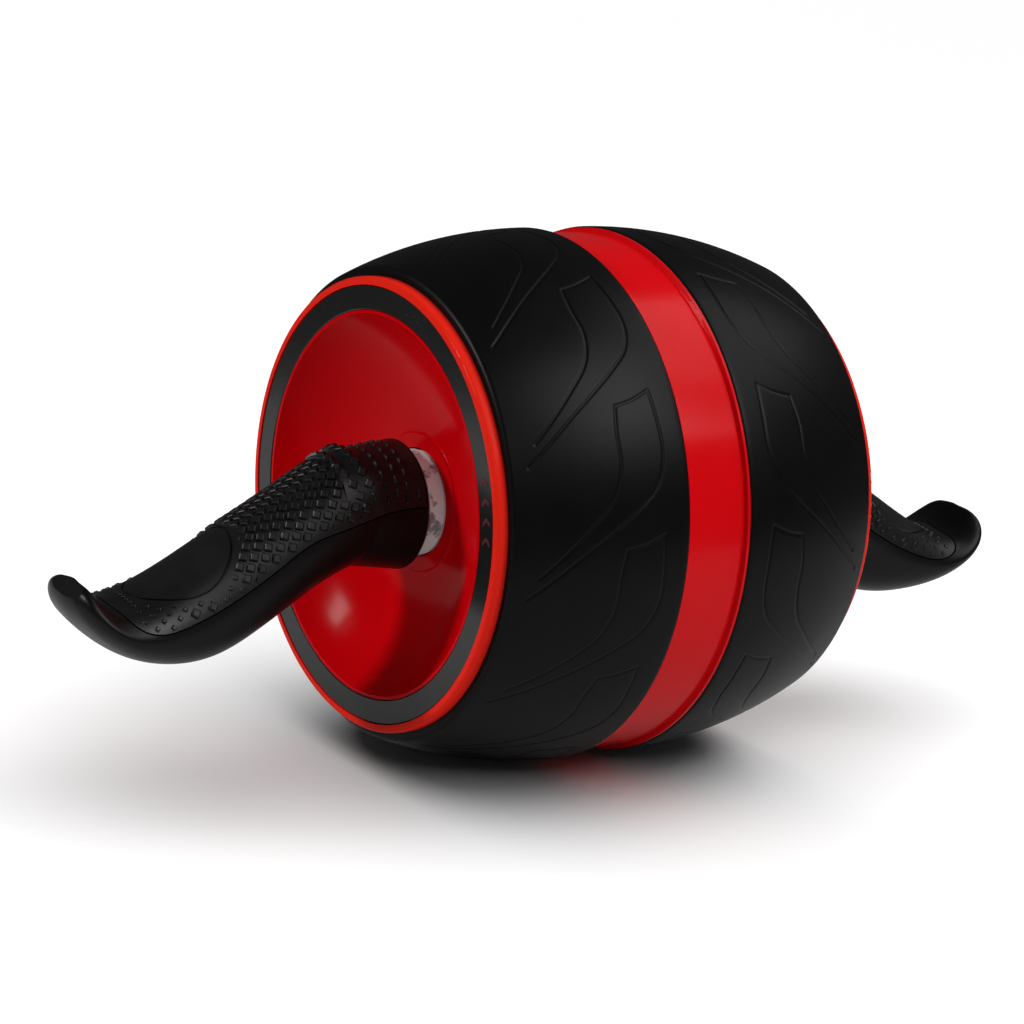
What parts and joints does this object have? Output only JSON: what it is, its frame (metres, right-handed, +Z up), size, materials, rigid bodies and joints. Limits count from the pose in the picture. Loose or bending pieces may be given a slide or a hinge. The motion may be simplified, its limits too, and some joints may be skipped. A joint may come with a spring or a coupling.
{
  "type": "ab wheel roller",
  "caption": "Wide barrel-shaped ab roller: two treaded tyres on a red hub with dished sides, spring-return wheel on an axle with drooping ergonomic handles.",
  "frame": {"origin": "centre of the wheel on the axle", "axes": "+Z up, +Y along the axle towards the right handle, -X the way the wheel rolls out"},
  "size_m": [0.188, 0.3912, 0.188],
  "materials": {
    "hub_red": "satin gloss red",
    "band_red": "gloss red",
    "tyre_rubber": "matte black rubber",
    "trim_grey": "gloss black",
    "screw_zinc": "zinc plated",
    "bush_nylon": "natural nylon",
    "drum_black": "black moulding",
    "spring_steel": "blued spring steel",
    "axle_steel": "drawn steel",
    "arbor_zinc": "sintered steel",
    "sleeve_white": "smooth white, clouded grey",
    "handle_black": "satin black",
    "grip_rubber": "matte black, textured",
    "bolt_black": "black oxide"
  },
  "bodies": {
    "handles": {"axle_tube": "axle_steel", "spring_arbor": "arbor_zinc", "arbor_pin": "spring_steel", "left_thrust_washer": "bush_nylon", "right_thrust_washer": "bush_nylon", "left_spacer_sleeve": "sleeve_white", "right_spacer_sleeve": "sleeve_white", "left_axle_plug": "axle_steel", "right_axle_plug": "axle_steel", "left_handle_core": "handle_black", "right_handle_core": "handle_black", "left_grip_pad": "grip_rubber", "right_grip_pad": "grip_rubber", "left_handle_bolt": "bolt_black", "right_handle_bolt": "bolt_black"},
    "wheel": {"left_hub_shell": "hub_red", "right_hub_shell": "hub_red", "centre_band": "band_red", "left_tyre": "tyre_rubber", "right_tyre": "tyre_rubber", "left_trim_ring": "trim_grey", "right_trim_ring": "trim_grey", "hub_screws": "screw_zinc", "left_bush": "bush_nylon", "right_bush": "bush_nylon", "spring_drum": "drum_black", "drum_cover": "drum_black", "drum_cover_screws": "screw_zinc", "rewind_spring": "spring_steel", "spring_anchor_pin": "spring_steel"}
  },
  "joints": [
    {"name": "wheel_spin", "type": "hinge", "parent": "handles", "child": "wheel", "pos_m": [0, 0, 0], "axis": [0, -1, 0], "range_deg": [0, 810], "stiffness_Nm_per_rad": 0.25, "deforming": ["rewind_spring"]}
  ]
}
